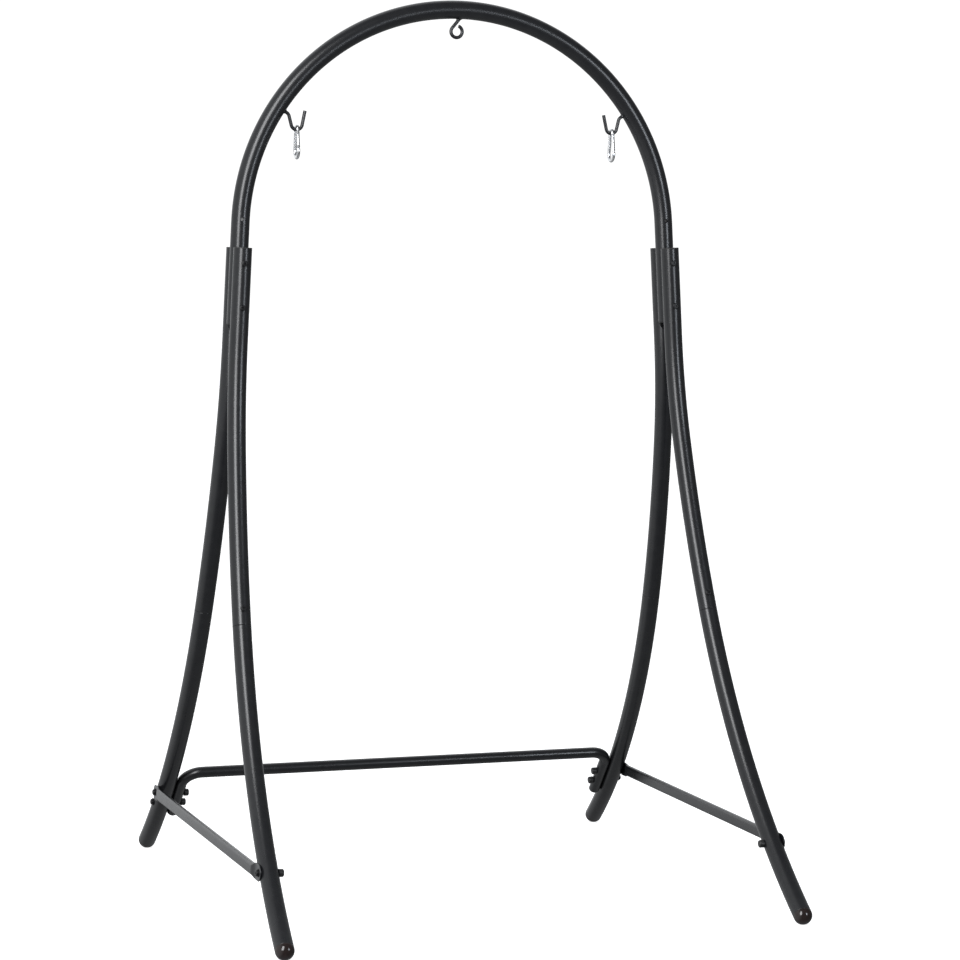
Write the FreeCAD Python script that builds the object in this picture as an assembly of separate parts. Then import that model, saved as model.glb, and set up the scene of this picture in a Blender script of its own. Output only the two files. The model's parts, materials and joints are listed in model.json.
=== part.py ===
"""Arch stand for a hanging chair: a bent arch tube clasped between four splayed, curved legs.

Millimetres. Origin on the floor under the middle of the arch, +X to the side, +Y to the rear, +Z up.
Each side of the stand is drawn in its own flat frame (the side plane) and then leaned outwards.
In the side plane, x points to the outside of the stand for side = +1, y to the rear, and z = 0 is
the top of the legs.
"""
import FreeCAD, Part
import math
import os

V = FreeCAD.Vector
os.makedirs("parts", exist_ok=True)

# ---------------------------------------------------------------- driving dimensions
overall_height = 2060.0
arch_radius = 515.0            # centreline of the half-round top
side_lean = 2.9                # degrees, both the arch's ends and the legs lean out by this
leg_top_height = 1489.0

tube_dia = 42.4
tube_wall = 1.5
bar_dia = 26.9                 # rear crossbar tube
bar_wall = 1.5

# legs, along their centrelines from the top down
leg_straight = 205.0           # clasps the arch's end
upper_bend_radius = 1120.0
upper_bend_turn = 12.5         # degrees
upper_sweep_radius = 2450.0
upper_sweep_turn = 9.7         # degrees, ends at the seam
lower_sweep_radius = 1480.0    # runs on down to the foot
spigot_length = 70.0           # swaged end of a lower tube inside the upper one
shoulder_thick = 3.0           # wall where the spigot meets the full tube
seam_gap = 0.4

# joint between the arch and the legs
arch_overlap = 171.0           # arch tube below the leg tops
saddle_gap = 0.15              # leg saddle to arch tube
saddle_depth = 8.4             # how far a leg tube is pressed in over the arch tube
joint_bolt_drop = 34.0         # leg top to the first bolt
joint_bolt_pitch = 100.0
spare_hole_count = 1           # spare height settings above the joint

# feet
foot_centre_height = 20.0      # centre of the domed end, so the dome is cut flat at the floor
foot_band = 3.0
plug_gap = 0.1
foot_plug_length = 26.0

# rear crossbar and side braces
bar_bolt_height = 151.0        # middle of the two bolts at each rear leg
bar_bolt_pitch = 40.0
bar_corner_rise = 100.0        # middle of the bolts to the corner, along the leg
bar_tail = 38.0                # lower bolt to the end of the tube
bar_bend_radius = 45.0
bar_leg_gap = 0.2
brace_front_height = 155.0
brace_height = 28.0
brace_thickness = 15.0
brace_wall = 1.2
brace_tab_reach = 24.0         # flattened end, from the bolt to where the tube opens out
brace_open_length = 20.0

# fasteners, M8
bolt_dia = 8.0
hole_dia = 8.6
head_dia = 14.0
head_height = 4.4
socket_size = 5.0
socket_depth = 2.6
nut_flats = 13.0
nut_height = 6.5
thread_gap = 0.05
washer_dia = 18.0
washer_thick = 1.6
cap_dia = 17.6
cap_height = 10.0
cap_wall = 1.1
seam_bolt_rise = 37.0          # above the seam
seam_seat_gap = 0.03           # a flat head over the leg's slight hollow
seam_bolt_length = 18.0
nut_corner_gap = 0.07          # weld nut's corners to the round wall that it sits on

# hanging hardware
rod_dia = 8.0
hook_angle = 34.0              # degrees above the arch's centre
hook_bend_radius = 13.0
hook_arm_lean = 14.0
hook_root_bend = 12.0          # from square off the arch into the arm
hook_tip_lean = 12.0
hook_spread = 27.4             # root to the bend's centre, sideways
hook_rise = 28.0               # and upwards
hook_tip_length = 33.5
eye_radius = 13.5
eye_drop = 29.0                # underside of the arch to the eye's centre
eye_neck_lean = 40.0
eye_end_angle = 70.0           # where the cut tip of the eye stops, degrees
weld_leg = 3.2

# spring snap hooks
snap_wire = 8.0
snap_top_radius = 9.0
snap_bottom_radius = 16.0
snap_length = 80.0
snap_rest_gap = 0.3
gate_pin_drop = 8.0            # below the top bend's tangent point, along the side
gate_length = 34.0             # pin to tip
gate_slot_gap = 0.3
tongue_thick = 3.4
tongue_width = 7.0
pin_dia = 2.5
pin_gap = 0.05
spring_wire = 0.6
spring_bore = 4.2
spring_turns = 7

# ---------------------------------------------------------------- worked-out sizes
tube_r = tube_dia / 2
bore_r = tube_r - tube_wall
bar_r = bar_dia / 2
rod_r = rod_dia / 2
lean = math.radians(side_lean)
arch_centre_height = overall_height - tube_r - arch_radius
saddle_r = tube_r + saddle_gap
leg_offset = 2 * tube_r + saddle_gap - saddle_depth      # leg centreline to arch centreline, along Y
arch_tangent_height = arch_centre_height + arch_radius * math.sin(lean)
joint_x = arch_radius * math.cos(lean) + (arch_tangent_height - leg_top_height) * math.tan(lean)
joint_grip = leg_offset + tube_r                          # joint centre to a leg's outer face
bolt_levels = [-joint_bolt_drop - i * joint_bolt_pitch for i in range(2)]
spare_levels = [-joint_bolt_drop + (i + 1) * joint_bolt_pitch for i in range(spare_hole_count)]
snap_centre_gap = snap_length - snap_top_radius - snap_bottom_radius - snap_wire
SIDES = {"left": -1, "right": 1}
ENDS = {"front": -1, "rear": 1}

made = {}


def keep(name, *solids):
    """Remember a node's solids; several separate solids become one compound."""
    made[name] = solids[0] if len(solids) == 1 else Part.makeCompound(list(solids))


# ---------------------------------------------------------------- general shapes
def turned(shape, position, direction):
    """Move a shape drawn at the origin along +Z so that +Z points along direction."""
    moved = shape.copy()
    moved.Placement = FreeCAD.Placement(position, FreeCAD.Rotation(V(0, 0, 1), direction))
    return moved


def rod_between(start, end, radius):
    return Part.makeCylinder(radius, (end - start).Length, start, end - start)


def pipe(edges, radius, start, direction):
    """A round bar along tangent edges, from its start point."""
    circle = Part.Wire(Part.makeCircle(radius, start, direction))
    return Part.Wire(edges).makePipeShell([circle], True, False)


def tube(edges, outer, inner, start, direction):
    return pipe(edges, outer, start, direction).cut(pipe(edges, inner, start, direction))


def line(a, b):
    return Part.LineSegment(a, b).toShape()


def arc(a, middle, b):
    return Part.Arc(a, middle, b).toShape()


def to_side(shape, side):
    """Lean a shape drawn in the side plane outwards and move it to the joint on that side."""
    moved = shape.copy()
    placement = FreeCAD.Placement(V(side * joint_x, 0, leg_top_height),
                                  FreeCAD.Rotation(V(0, 1, 0), -side * side_lean))
    moved.Placement = placement.multiply(moved.Placement)
    return moved


def side_point(point, side):
    placement = FreeCAD.Placement(V(side * joint_x, 0, leg_top_height),
                                  FreeCAD.Rotation(V(0, 1, 0), -side * side_lean))
    return placement.multVec(point)


# ---------------------------------------------------------------- the legs' centreline
# A station is (out, drop, angle): distance out from the arch's plane, distance below the leg top,
# and the angle that the centreline has turned away from straight down, in radians.
def sweep(station, radius, turn):
    out, drop, angle = station
    return (out + radius * (math.cos(angle) - math.cos(angle + turn)),
            drop + radius * (math.sin(angle + turn) - math.sin(angle)),
            angle + turn)


def leg_point(station, end):
    return V(0, end * station[0], -station[1])


def leg_direction(station, end):
    return V(0, end * math.sin(station[2]), -math.cos(station[2]))


def leg_normal(station, end):
    """Across the tube, in the side plane, towards the outside of the bend."""
    return V(0, end * math.cos(station[2]), math.sin(station[2]))


def sweep_edge(station, radius, turn, end):
    a, m, b = (leg_point(sweep(station, radius, turn * part), end) for part in (0, 0.5, 1))
    return arc(a, m, b)


top_station = (leg_offset, 0.0, 0.0)
bend_station = (leg_offset, leg_straight, 0.0)
sweep_station = sweep(bend_station, upper_bend_radius, math.radians(upper_bend_turn))
seam_station = sweep(sweep_station, upper_sweep_radius, math.radians(upper_sweep_turn))


def lower_turn_at(height):
    """How far the lower sweep has turned where the centreline is this high above the floor."""
    drop = (leg_top_height - height) / math.cos(lean) - seam_station[1]
    return math.asin(math.sin(seam_station[2]) + drop / lower_sweep_radius) - seam_station[2]


def lower_station_at(height):
    return sweep(seam_station, lower_sweep_radius, lower_turn_at(height))


def tube_end_station():
    """Where a leg's tube stops and its foot cap begins."""
    return sweep(lower_station_at(foot_centre_height), lower_sweep_radius, -foot_band / lower_sweep_radius)


# ---------------------------------------------------------------- fasteners
def button_bolt(length):
    """Head below z = 0, shank up along +Z."""
    head = Part.makeCylinder(head_dia / 2, head_height, V(0, 0, -head_height))
    rim = [e for e in head.Edges if abs(e.BoundBox.ZMax + head_height) < 1e-6 and e.Length > head_dia]
    head = head.makeFillet(head_height * 0.62, rim)
    socket = prism(socket_size, socket_depth, V(0, 0, -head_height))
    return head.cut(socket).fuse(Part.makeCylinder(bolt_dia / 2, length))


def prism(flats, height, base):
    """Hexagonal prism up along +Z."""
    corners = [V(flats / math.sqrt(3) * math.cos(math.radians(60 * k)),
                 flats / math.sqrt(3) * math.sin(math.radians(60 * k)), 0) + base for k in range(7)]
    return Part.Face(Part.makePolygon(corners)).extrude(V(0, 0, height))


def hex_nut():
    return prism(nut_flats, nut_height, V()).cut(Part.makeCylinder(bolt_dia / 2 + thread_gap, nut_height))


def washer():
    return Part.makeCylinder(washer_dia / 2, washer_thick).cut(Part.makeCylinder(hole_dia / 2, washer_thick))


def nut_cap():
    """Round plastic cover over a nut, domed at its edge."""
    body = Part.makeCylinder(cap_dia / 2, cap_height)
    rim = [e for e in body.Edges if abs(e.BoundBox.ZMin - cap_height) < 1e-6 and e.Length > cap_dia]
    body = body.makeFillet(3.2, rim)
    return body.cut(Part.makeCylinder(cap_dia / 2 - cap_wall, cap_height - cap_wall * 1.5))


def fasten(group, side, start, direction, grip, washers=True):
    """One bolt through grip millimetres, with its nut and cap, added to the group's lists."""
    direction = V(direction).normalize()
    pad = washer_thick if washers else 0.0
    far = start + direction * grip
    bolt = button_bolt(grip + 2 * pad + nut_height + 0.5)
    parts = {"bolts": turned(bolt, start - direction * pad, direction),
             "nuts": turned(hex_nut(), far + direction * pad, direction),
             "caps": turned(nut_cap(), far + direction * pad, direction)}
    if washers:
        group.setdefault("washers", []).append(to_side(turned(washer(), start - direction * pad, direction), side))
        group["washers"].append(to_side(turned(washer(), far, direction), side))
    for kind, shape in parts.items():
        group.setdefault(kind, []).append(to_side(shape, side))


# ---------------------------------------------------------------- arch tube
def arch_edges():
    ends = [side_point(V(0, 0, -arch_overlap), s) for s in (-1, 1)]
    centre = V(0, 0, arch_centre_height)
    shoulder = V(arch_radius * math.cos(lean), 0, arch_radius * math.sin(lean))
    left = centre + V(-shoulder.x, 0, shoulder.z)
    right = centre + shoulder
    crown = centre + V(0, 0, arch_radius)
    return [line(ends[0], left), arc(left, crown, right), line(right, ends[1])]


def arch_pipe(radius):
    start = side_point(V(0, 0, -arch_overlap), -1)
    direction = side_point(V(0, 0, 0), -1) - start
    return pipe(arch_edges(), radius, start, direction)


def make_arch():
    arch = arch_pipe(tube_r).cut(arch_pipe(bore_r))
    for side in SIDES.values():
        for level in bolt_levels + spare_levels:
            hole = Part.makeCylinder(hole_dia / 2, 2 * tube_dia, V(0, -tube_dia, level), V(0, 1, 0))
            arch = arch.cut(to_side(hole, side))
    keep("arch_tube", arch)


def round_plug(outer, bore, flange, length):
    """Push-in plug: flange below z = 0, hollow stem up into the tube."""
    rim = Part.makeCylinder(outer, flange, V(0, 0, -flange))
    edge = [e for e in rim.Edges if abs(e.BoundBox.ZMax + flange) < 1e-6 and e.Length > outer]
    stem = Part.makeCylinder(bore - plug_gap, length).cut(Part.makeCylinder(bore - plug_gap - 2.0, length))
    return rim.makeFillet(flange * 0.6, edge).fuse(stem)


def make_arch_plugs():
    plug = round_plug(tube_r - 0.4, bore_r, 2.5, 14.0)
    keep("arch_end_plugs", *[to_side(turned(plug, V(0, 0, -arch_overlap), V(0, 0, 1)), s) for s in SIDES.values()])


# ---------------------------------------------------------------- hanging hardware
def clipped_to_arch(shape, arch_outside):
    return shape.cut(arch_outside)


def make_eye(arch_outside):
    """The neck slants down to the loop and runs into it on a tangent."""
    under = arch_centre_height + arch_radius - tube_r
    loop = V(0, 0, under - eye_drop)
    lean_in = math.radians(eye_neck_lean)
    neck_way = V(math.sin(lean_in), 0, math.cos(lean_in))
    begin = math.pi - lean_in
    finish = 2 * math.pi + math.radians(eye_end_angle)
    around = [loop + V(eye_radius * math.cos(a), 0, eye_radius * math.sin(a))
              for a in (begin, (begin + finish) / 2, finish)]
    neck_length = (under - around[0].z) / neck_way.z
    place = around[0] + neck_way * neck_length
    root = place + neck_way * (2 * tube_wall)
    rod = pipe([line(root, around[0]), arc(*around)], rod_r, root, neck_way * -1)
    keep("eye_hook", clipped_to_arch(rod, arch_outside))
    return place, neck_way * -1


def hook_root(side):
    """Where an open hook's rod meets the inside of the arch, square to it."""
    phi = math.radians(hook_angle)
    square = V(side * math.cos(phi), 0, math.sin(phi))
    return V(0, 0, arch_centre_height) + square * (arch_radius - tube_r), square


def hook_centre(side):
    """Centre of an open hook's bend."""
    return hook_root(side)[0] - V(side * hook_spread, 0, hook_rise)


def make_hook(name, side, arch_outside):
    centre = hook_centre(side)
    root, square = hook_root(side)
    a, b = math.radians(hook_arm_lean), math.radians(hook_tip_lean)
    out = V(side, 0, 0)
    up = V(0, 0, 1)
    root_side = centre + (out * math.cos(a) - up * math.sin(a)) * hook_bend_radius
    tip_side = centre + (out * -math.cos(b) - up * math.sin(b)) * hook_bend_radius
    arm_way = out * math.sin(a) + up * math.cos(a)
    tip_way = out * -math.sin(b) + up * math.cos(b)
    tip = tip_side + tip_way * hook_tip_length
    across = out * math.cos(a) - up * math.sin(a)
    corner = root - square * ((root - root_side).dot(across) / square.dot(across))
    half_turn = square.getAngle(arm_way) / 2
    from_corner = hook_root_bend * math.tan(half_turn)
    first, last = corner + square * from_corner, corner - arm_way * from_corner
    inside = (square - arm_way).normalize()
    middle = corner + inside * (hook_root_bend / math.cos(half_turn) - hook_root_bend)
    start = root + square * (2 * tube_wall)
    rod = pipe([line(start, first), arc(first, middle, last), line(last, root_side),
                arc(root_side, centre - up * hook_bend_radius, tip_side), line(tip_side, tip)],
               rod_r, start, square * -1)
    keep(name, clipped_to_arch(rod, arch_outside))
    return root, square * -1


def weld_bead(place, way, rod_solid, arch_outside):
    """A ring of weld where a rod meets the arch tube."""
    ring = Part.makeCone(rod_r + weld_leg, rod_r, weld_leg * 1.6, place - V(way).normalize() * 1.0, way)
    return ring.cut(rod_solid).cut(arch_outside)


def make_hardware():
    arch_outside = arch_pipe(tube_r)
    beads = [weld_bead(*make_eye(arch_outside), made["eye_hook"], arch_outside)]
    for word, side in SIDES.items():
        place, way = make_hook("hook_" + word, side, arch_outside)
        beads.append(weld_bead(place, way, made["hook_" + word], arch_outside))
    keep("hook_welds", *beads)


# ---------------------------------------------------------------- spring snap hooks
# Drawn in their own plane: a towards the gate, b up, with the origin at the top bend's centre.
flare = math.asin((snap_bottom_radius - snap_top_radius) / snap_centre_gap)
side_length = snap_centre_gap * math.cos(flare)


def snap_centre(side):
    bend_bottom = hook_centre(side) - V(0, 0, hook_bend_radius)
    return bend_bottom + V(0, 0, rod_r + snap_rest_gap - (snap_top_radius - snap_wire / 2))


def make_snap(word, side):
    origin = snap_centre(side)

    def at(a, b):
        return origin + V(0, -a, b)

    def gate_side(s):
        """Point on the gate's side line, s below the top bend's tangent point."""
        return at(snap_top_radius * math.cos(flare) + s * math.sin(flare),
                  snap_top_radius * math.sin(flare) - s * math.cos(flare))

    down = gate_side(1) - gate_side(0)
    across = V(1, 0, 0).cross(down)                       # in the plane, across the gate
    wire_r = snap_wire / 2
    hinge_end = gate_pin_drop - wire_r - 2.0              # where the wire stops above the pin
    latch_end = gate_pin_drop + gate_length + 2.5         # where the wire stops below the tip
    nose_end = latch_end - 8.0
    spine_top = at(-snap_top_radius * math.cos(flare), snap_top_radius * math.sin(flare))
    spine_low = at(-snap_bottom_radius * math.cos(flare), -snap_centre_gap + snap_bottom_radius * math.sin(flare))
    frame = pipe([line(gate_side(latch_end), gate_side(side_length)),
                  arc(gate_side(side_length), at(0, -snap_centre_gap - snap_bottom_radius), spine_low),
                  line(spine_low, spine_top),
                  arc(spine_top, at(0, snap_top_radius), gate_side(0)),
                  line(gate_side(0), gate_side(hinge_end))],
                 wire_r, gate_side(latch_end), down)

    def blade(s_from, s_to, width, thick):
        """Flat bar along the gate's side line, centred on it."""
        start = gate_side(s_from) - across * (width / 2) - V(thick / 2, 0, 0)
        bar = Part.makePolygon([start, start + V(thick, 0, 0), start + V(thick, 0, 0) + across * width,
                                start + across * width, start])
        return Part.Face(bar).extrude(gate_side(s_to) - gate_side(s_from))

    def disc(s, radius, thick):
        return Part.makeCylinder(radius, thick, gate_side(s) - V(thick / 2, 0, 0), V(1, 0, 0))

    tongue = blade(hinge_end - 1.0, gate_pin_drop, tongue_width, tongue_thick)
    tongue = tongue.fuse(disc(gate_pin_drop, tongue_width / 2, tongue_thick))
    nose = blade(nose_end, latch_end + 1.0, tongue_width - 1.0, tongue_thick)
    pin_hole = disc(gate_pin_drop, pin_dia / 2, snap_wire * 2)
    keep("snap_hook_" + word, frame.fuse(tongue).fuse(nose).cut(pin_hole).removeSplitter())

    slot = tongue_thick + 2 * gate_slot_gap
    gate_top, gate_tip = gate_pin_drop - wire_r, gate_pin_drop + gate_length
    slot_end = gate_pin_drop + tongue_width / 2 + 1.0
    gate = rod_between(gate_side(gate_top), gate_side(gate_tip), wire_r)
    gate = gate.cut(blade(gate_top - 1, slot_end, snap_wire * 2, slot))
    gate = gate.cut(blade(nose_end - 1.0, gate_tip + 1, snap_wire * 2, slot))
    bore_end = gate_side(slot_end + 16.0)
    gate = gate.cut(rod_between(gate_side(slot_end - 1), bore_end, spring_bore / 2))
    keep("snap_gate_" + word, gate.cut(disc(gate_pin_drop, pin_dia / 2 + pin_gap, snap_wire * 2)))
    keep("gate_pin_" + word, disc(gate_pin_drop, pin_dia / 2, snap_wire))

    coil_r = spring_bore / 2 - spring_wire / 2 - 0.15
    coil_length = 14.0
    coil = Part.makeHelix(coil_length / spring_turns, coil_length, coil_r)
    wire = Part.Wire(Part.makeCircle(spring_wire / 2, V(coil_r, 0, 0), V(0, 1, 0)))
    spring = Part.Wire(coil.Edges).makePipeShell([wire], True, True)
    keep("gate_spring_" + word, turned(spring, gate_side(slot_end + 1.0), down))


# ---------------------------------------------------------------- legs
def saddle(radius, side):
    """Round-ended cutter that follows the arch's end, up into its bend."""
    bottom = V(0, 0, -arch_overlap - 4.0)
    bend_start = V(0, 0, (arch_tangent_height - leg_top_height) / math.cos(lean))

    def along_bend(turn):
        return bend_start + V(-side * arch_radius * (1 - math.cos(turn)), 0, arch_radius * math.sin(turn))

    reach = math.radians(12.0)
    bar = pipe([line(bottom, bend_start), arc(bend_start, along_bend(reach / 2), along_bend(reach))],
               radius, bottom, V(0, 0, 1))
    return bar.fuse(Part.makeSphere(radius, bottom))


def make_upper_leg(name, end, side):
    top = leg_point(top_station, end)
    down = leg_direction(top_station, end)
    edges = [line(top, leg_point(bend_station, end)),
             sweep_edge(bend_station, upper_bend_radius, math.radians(upper_bend_turn), end),
             sweep_edge(sweep_station, upper_sweep_radius, math.radians(upper_sweep_turn), end)]
    hollow = pipe(edges, bore_r, top, down).cut(saddle(saddle_r + tube_wall, side))
    leg = pipe(edges, tube_r, top, down).cut(saddle(saddle_r, side)).cut(hollow)
    for level in bolt_levels:
        leg = leg.cut(Part.makeCylinder(hole_dia / 2, 2 * tube_dia, V(0, 0, level), V(0, end, 0)))
    leg = leg.cut(seam_hole(end, tube_dia))
    keep(name, to_side(leg, side))


def seam_bolt_station():
    return sweep(seam_station, upper_sweep_radius, -seam_bolt_rise / upper_sweep_radius)


def seam_hole(end, reach):
    station = seam_bolt_station()
    return Part.makeCylinder(hole_dia / 2, reach, leg_point(station, end), leg_normal(station, end))


def make_lower_leg(name, end, side):
    """The tube's top end is reduced to a spigot, and both lie on the leg's own centreline."""
    start = sweep(seam_station, lower_sweep_radius, seam_gap / lower_sweep_radius)
    shoulder = sweep(start, lower_sweep_radius, shoulder_thick / lower_sweep_radius)
    back = sweep(seam_station, upper_sweep_radius, -spigot_length / upper_sweep_radius)
    foot_angle = tube_end_station()[2]
    spigot_r = bore_r - plug_gap

    def neck(radius, reach):
        edges = [sweep_edge(back, upper_sweep_radius, spigot_length / upper_sweep_radius, end),
                 sweep_edge(seam_station, lower_sweep_radius, reach / lower_sweep_radius, end)]
        return pipe(edges, radius, leg_point(back, end), leg_direction(back, end))

    def body(radius, station):
        edges = [sweep_edge(station, lower_sweep_radius, foot_angle - station[2], end)]
        return pipe(edges, radius, leg_point(station, end), leg_direction(station, end))

    outside = body(tube_r, start).fuse(neck(spigot_r, seam_gap + shoulder_thick / 2))
    hollow = body(bore_r, shoulder).fuse(neck(spigot_r - tube_wall, seam_gap + shoulder_thick * 1.5))
    leg = outside.cut(hollow).cut(seam_hole(end, tube_dia))
    if end == ENDS["rear"]:
        for point in bar_bolt_points():
            leg = leg.cut(through_hole(point))
    else:
        leg = leg.cut(through_hole(brace_point(end)))
    keep(name, to_side(leg, side))


def through_hole(point):
    return Part.makeCylinder(hole_dia / 2, 2 * tube_dia, point - V(tube_dia, 0, 0), V(1, 0, 0))


def make_top_plug(name, end, side):
    top = leg_point(top_station, end)
    plate = Part.makeCylinder(tube_r, 2.5, top)
    edge = [e for e in plate.Edges if abs(e.BoundBox.ZMin - 2.5) < 1e-6 and e.Length > tube_r]
    plate = plate.makeFillet(1.2, edge).cut(saddle(saddle_r, side))
    inner = saddle(saddle_r + tube_wall + plug_gap, side)
    stem = Part.makeCylinder(bore_r - plug_gap, 16.0, top - V(0, 0, 16.0)).cut(inner)
    stem = stem.cut(Part.makeCylinder(bore_r - plug_gap - 2.0, 16.0, top - V(0, 0, 16.0)).cut(
        saddle(saddle_r + tube_wall + plug_gap + 2.0, side)))
    keep(name, to_side(plate.fuse(stem), side))


def make_foot_cap(name, end, side):
    station = tube_end_station()
    tube_end, way = leg_point(station, end), leg_direction(station, end)
    dome = Part.makeCylinder(tube_r, foot_band, tube_end, way)
    dome = dome.fuse(Part.makeSphere(tube_r, tube_end + way * foot_band))
    dome = dome.cut(Part.makeCylinder(2 * tube_r, 2 * tube_r, tube_end, way * -1))
    neck = sweep(station, lower_sweep_radius, -foot_plug_length / lower_sweep_radius)
    stem = tube([sweep_edge(neck, lower_sweep_radius, foot_plug_length / lower_sweep_radius, end)],
                bore_r - plug_gap, bore_r - plug_gap - 2.5, leg_point(neck, end), leg_direction(neck, end))
    cap = to_side(dome.fuse(stem).removeSplitter(), side)
    floor = Part.makeBox(400, 400, 100, V(side * joint_x - 200 + side * 70, end * station[0] - 200, -100))
    keep(name, cap.cut(floor))


# ---------------------------------------------------------------- rear crossbar
bar_station = lower_station_at(bar_bolt_height)


def bar_bolt_points():
    """The two bolts through each rear leg, upper one first, on the leg's centreline."""
    way = leg_direction(bar_station, 1)
    middle = leg_point(bar_station, 1)
    return [middle - way * (bar_bolt_pitch / 2), middle + way * (bar_bolt_pitch / 2)]


def bar_axis_offset(side):
    return V(-side * (tube_r + bar_leg_gap + bar_r), 0, 0)


def make_crossbar():
    way = leg_direction(bar_station, 1)
    middle = leg_point(bar_station, 1)
    ends, corners = {}, {}
    for word, side in SIDES.items():
        inboard = middle + bar_axis_offset(side)
        ends[side] = side_point(inboard + way * (bar_bolt_pitch / 2 + bar_tail), side)
        corners[side] = side_point(inboard - way * bar_corner_rise, side)

    def corner_arc(before, corner, after):
        """Tangent points and middle of a bend of bar_bend_radius at a corner."""
        into = (before - corner).normalize()
        away = (after - corner).normalize()
        half = math.acos(max(-1.0, min(1.0, into.dot(away)))) / 2
        cut_back = bar_bend_radius / math.tan(half)
        bisect = (into + away).normalize()
        centre = corner + bisect * (bar_bend_radius / math.sin(half))
        return corner + into * cut_back, centre - bisect * bar_bend_radius, corner + away * cut_back

    first = corner_arc(ends[-1], corners[-1], corners[1])
    second = corner_arc(corners[-1], corners[1], ends[1])
    edges = [line(ends[-1], first[0]), arc(*first), line(first[2], second[0]),
             arc(*second), line(second[2], ends[1])]
    bar = tube(edges, bar_r, bar_r - bar_wall, ends[-1], corners[-1] - ends[-1])
    for side in SIDES.values():
        for point in bar_bolt_points():
            hole = Part.makeCylinder(hole_dia / 2, 2 * tube_dia, point, V(-side, 0, 0))
            bar = bar.cut(to_side(hole, side))
    keep("rear_crossbar", bar)
    plug = round_plug(bar_r, bar_r - bar_wall, 5.0, 12.0)
    keep("crossbar_end_plugs", *[turned(plug, ends[s], corners[s] - ends[s]) for s in SIDES.values()])


# ---------------------------------------------------------------- side braces
def brace_point(end):
    """Where a brace's bolt crosses the leg's centreline, in the side plane."""
    if end == ENDS["rear"]:
        return bar_bolt_points()[0]
    return leg_point(lower_station_at(brace_front_height), end)


def stadium(centre, along, height, thick):
    """Flat-oval outline square to a direction in the side plane; thick lies along x."""
    upright = V(1, 0, 0).cross(along).normalize()
    radius = thick / 2
    rise = upright * (height / 2 - radius)
    side = V(radius, 0, 0)
    points = [centre + rise - side, centre + rise + side, centre - rise + side, centre - rise - side]
    crown = upright * radius
    return Part.Wire([arc(points[0], centre + rise + crown, points[1]), line(points[1], points[2]),
                      arc(points[2], centre - rise - crown, points[3]), line(points[3], points[0])])


def make_brace(name, side):
    tab_thick = 2 * brace_wall
    flat_height = brace_height - brace_thickness + math.pi * brace_thickness / 2
    mid = side * (tube_r + 0.1 + tab_thick / 2)
    rear, front = (brace_point(e) + V(mid, 0, 0) for e in (1, -1))
    way = (rear - front).normalize()

    def stations(inset):
        """Outlines from the front's flat end to the rear's, for the tube grown inwards by inset."""
        result = []
        for reach, full in ((brace_tab_reach, 0.0), (brace_tab_reach + brace_open_length, 1.0)):
            height = flat_height + (brace_height - flat_height) * full - 2 * inset
            thick = tab_thick + (brace_thickness - tab_thick) * full - 2 * inset
            result.append((reach, height, max(thick, 0.1)))
        return result

    def body(inset):
        near, wide = stations(inset)
        span = (rear - front).Length
        places = [(near, near[0]), (wide, wide[0]), (wide, span - wide[0]), (near, span - near[0])]
        outlines = [stadium(front + way * reach, way, size[1], size[2]) for size, reach in places]
        lofts = [Part.makeLoft([a, b], True, True) for a, b in zip(outlines, outlines[1:])]
        return lofts[0].fuse(lofts[1:]).removeSplitter()

    brace = body(0.0).cut(body(brace_wall))
    for point, inward in ((front, way), (rear, way * -1)):
        disc = Part.makeCylinder(flat_height / 2, tab_thick, point - V(tab_thick / 2, 0, 0), V(1, 0, 0))
        upright = V(1, 0, 0).cross(inward).normalize() * (flat_height / 2 - 0.02)
        base = point - V(tab_thick / 2, 0, 0)
        reach = inward * (brace_tab_reach + 0.5)
        sheet = Part.Face(Part.makePolygon([base + upright, base - upright, base - upright + reach,
                                            base + upright + reach, base + upright])).extrude(V(tab_thick, 0, 0))
        brace = brace.fuse(disc).fuse(sheet)
        brace = brace.cut(Part.makeCylinder(hole_dia / 2, 4 * tab_thick,
                                            point - V(2 * tab_thick, 0, 0), V(1, 0, 0)))
    keep(name, to_side(brace.removeSplitter(), side))


# ---------------------------------------------------------------- fastener groups
def make_fasteners():
    groups = {"joint": {}, "brace": {}, "crossbar": {}}
    seam_bolts, seam_nuts = [], []
    tab = 2 * brace_wall + 0.1
    for side in SIDES.values():
        for level in bolt_levels:
            fasten(groups["joint"], side, V(0, -joint_grip, level), V(0, 1, 0), 2 * joint_grip, washers=False)
        inward = V(-side, 0, 0)
        across_bar = 2 * tube_r + bar_leg_gap + bar_dia
        upper, lower = bar_bolt_points()
        fasten(groups["crossbar"], side, upper + V(side * (tube_r + tab), 0, 0), inward, across_bar + tab)
        fasten(groups["crossbar"], side, lower + V(side * tube_r, 0, 0), inward, across_bar)
        fasten(groups["brace"], side, brace_point(-1) + V(side * (tube_r + tab), 0, 0), inward, tube_dia + tab)
        for end in ENDS.values():
            station = seam_bolt_station()
            normal = leg_normal(station, end)
            seat = leg_point(station, end) + normal * (tube_r + seam_seat_gap)
            inside = bore_r - plug_gap - tube_wall
            nut_rise = math.sqrt(inside ** 2 - nut_flats ** 2 / 3) - nut_corner_gap
            nut_seat = leg_point(station, end) + normal * nut_rise
            seam_bolts.append(to_side(turned(button_bolt(seam_bolt_length), seat, normal * -1), side))
            seam_nuts.append(to_side(turned(hex_nut(), nut_seat, normal * -1), side))
    for group, kinds in groups.items():
        for kind, shapes in kinds.items():
            keep("%s_%s" % (group, kind), *shapes)
    keep("seam_bolts", *seam_bolts)
    keep("seam_weld_nuts", *seam_nuts)


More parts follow.
